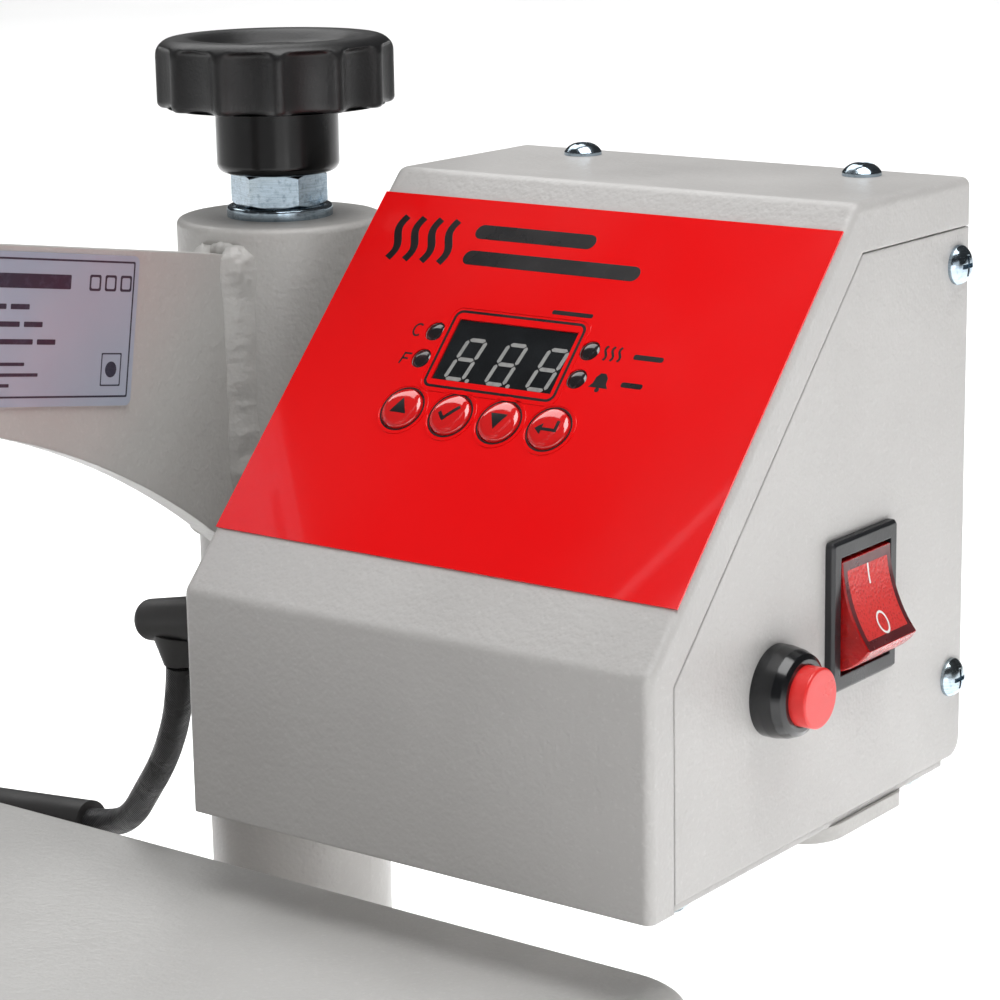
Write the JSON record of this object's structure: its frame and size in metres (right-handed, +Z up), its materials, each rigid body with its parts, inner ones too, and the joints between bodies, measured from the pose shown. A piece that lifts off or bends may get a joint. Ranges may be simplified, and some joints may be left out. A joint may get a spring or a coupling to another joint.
{
  "type": "swing-away heat press",
  "caption": "Small swing-away heat press: a heated plate under a cover on an arched arm that turns about a column, with a control box, pressure knob, lever and padded lower platen.",
  "frame": {"origin": "on the floor under the middle of the base, which is the middle of the overall box", "axes": "+X to the operator's right, +Y to the rear where the column stands, +Z up; shown with the arm to the front over the lower platen, the head raised and the lever up"},
  "size_m": [0.34, 0.36, 0.6398],
  "materials": {
    "grey_coat": "fine-textured light grey powder coat, satin",
    "plug_black": "black moulded plastic",
    "black_rubber": "matte black moulded rubber",
    "ground_steel": "turned and ground, lightly oiled",
    "spring_steel": "oil-blackened spring wire",
    "zinc": "bright zinc plate, faintly blue",
    "platen_alu": "milled and lightly brushed",
    "silicone": "orange-red silicone sponge, matte",
    "knob_black": "moulded black, satin with a light sheen",
    "boss_black": "glossy black",
    "bush_bronze": "sintered bronze, dull",
    "plate_silver": "printed silver film, satin",
    "label_red": "glossy printed polyester film, red",
    "window_smoke": "smoked clear window",
    "display_dark": "dark display body",
    "led_clear": "tinted lens",
    "board_green": "green lacquered board",
    "relay_black": "black moulded case",
    "terminal_cream": "cream moulded plastic",
    "switch_black": "black moulding, fine texture",
    "lead_black": "matte black sleeving",
    "key_red": "glossy red dome",
    "rocker_red": "translucent red, moulded frosting",
    "cap_red": "glossy red",
    "wool": "off-white mineral fibre mat",
    "sheath": "heat-tinted stainless tube",
    "cast_alu": "cast, face coated dark",
    "ceramic_white": "white unglazed ceramic",
    "grip_foam": "black foam rubber, matte"
  },
  "bodies": {
    "base": {"base_frame": "grey_coat", "tube_plugs": "plug_black", "rubber_feet": "black_rubber", "post": "grey_coat", "post_plug": "ground_steel", "height_spring": "spring_steel", "platen_bolts": "zinc", "lower_platen": "platen_alu", "silicone_pad": "silicone"},
    "carrier": {"thrust_washer": "zinc"},
    "knob": {"knob": "knob_black", "knob_boss": "boss_black", "adjust_screw": "zinc", "lock_nut": "zinc"},
    "arm": {"arm_sleeve": "grey_coat", "arm_plate": "grey_coat", "guide_tube": "grey_coat", "lever_bracket": "grey_coat", "shaft_bushes": "bush_bronze", "pivot_bolt": "zinc", "rating_plate": "plate_silver", "box_bracket": "grey_coat", "front_cover": "grey_coat", "side_panel_right": "grey_coat", "side_panel_left": "grey_coat", "back_panel": "grey_coat", "bottom_plate": "grey_coat", "case_screws": "zinc", "label_overlay": "label_red", "display_window": "window_smoke", "display_module": "display_dark", "status_leds": "led_clear", "controller_board": "board_green", "relay": "relay_black", "terminal_block": "terminal_cream", "rocker_housing": "switch_black", "button_collar": "switch_black", "mains_gland": "plug_black", "lead_collar": "black_rubber", "heater_lead": "lead_black", "return_spring": "spring_steel"},
    "key_up": {"key_up": "key_red"},
    "key_set": {"key_set": "key_red"},
    "key_down": {"key_down": "key_red"},
    "key_enter": {"key_enter": "key_red"},
    "rocker": {"rocker_paddle": "rocker_red"},
    "button": {"button_cap": "cap_red"},
    "head": {"press_shaft": "ground_steel", "flange_bolts": "zinc", "head_cover": "grey_coat", "insulation": "wool", "heating_element": "sheath", "heating_plate": "cast_alu", "thermal_cutout": "ceramic_white", "temperature_probe": "zinc", "lead_boot": "black_rubber", "cover_screws": "zinc"},
    "lever": {"lever_cam": "ground_steel", "handle_bar": "zinc", "handle_grip": "grip_foam"}
  },
  "joints": [
    {"name": "arm_height", "type": "slide", "parent": "base", "child": "carrier", "axis": [0, 0, 1], "range_m": [-0.00525, 0.00875], "stiffness_N_per_m": 6000, "springref_m": 0.02, "deforming": ["height_spring"]},
    {"name": "knob_turn", "type": "hinge", "parent": "carrier", "child": "knob", "pos_m": [0, 0.1092, 0], "axis": [0, 0, 1], "range_deg": [-1080, 1800]},
    {"name": "arm_swing", "type": "hinge", "parent": "carrier", "child": "arm", "pos_m": [0, 0.1092, 0], "axis": [0, 0, 1], "range_deg": [-180, 180]},
    {"name": "lever", "type": "hinge", "parent": "arm", "child": "lever", "pos_m": [0, -0.06, 0.3825], "axis": [1, 0, 0], "range_deg": [0, 90]},
    {"name": "head_press", "type": "slide", "parent": "arm", "child": "head", "axis": [0, 0, -1], "range_m": [0, 0.022], "stiffness_N_per_m": 2500, "springref_m": -0.028, "deforming": ["return_spring"]},
    {"name": "rocker_switch", "type": "hinge", "parent": "arm", "child": "rocker", "pos_m": [0.1493, 0.1106, 0.2388], "axis": [0, 1, 0], "range_deg": [0, 40]},
    {"name": "breaker_button", "type": "slide", "parent": "arm", "child": "button", "axis": [-1, 0, 0], "range_m": [0, 0.0025], "stiffness_N_per_m": 800, "springref_m": -0.001},
    {"name": "up_key", "type": "slide", "parent": "arm", "child": "key_up", "axis": [0, 0.7298, -0.6837], "range_m": [0, 0.0004], "stiffness_N_per_m": 1500, "springref_m": -0.0004},
    {"name": "set_key", "type": "slide", "parent": "arm", "child": "key_set", "axis": [0, 0.7298, -0.6837], "range_m": [0, 0.0004], "stiffness_N_per_m": 1500, "springref_m": -0.0004},
    {"name": "down_key", "type": "slide", "parent": "arm", "child": "key_down", "axis": [0, 0.7298, -0.6837], "range_m": [0, 0.0004], "stiffness_N_per_m": 1500, "springref_m": -0.0004},
    {"name": "enter_key", "type": "slide", "parent": "arm", "child": "key_enter", "axis": [0, 0.7298, -0.6837], "range_m": [0, 0.0004], "stiffness_N_per_m": 1500, "springref_m": -0.0004}
  ],
  "couplings": [
    {"joint": "knob_turn", "follows": "arm_height", "rad_per_m": 3590.4},
    {"joint": "head_press", "follows": "lever", "m_per_rad": 0.014}
  ]
}
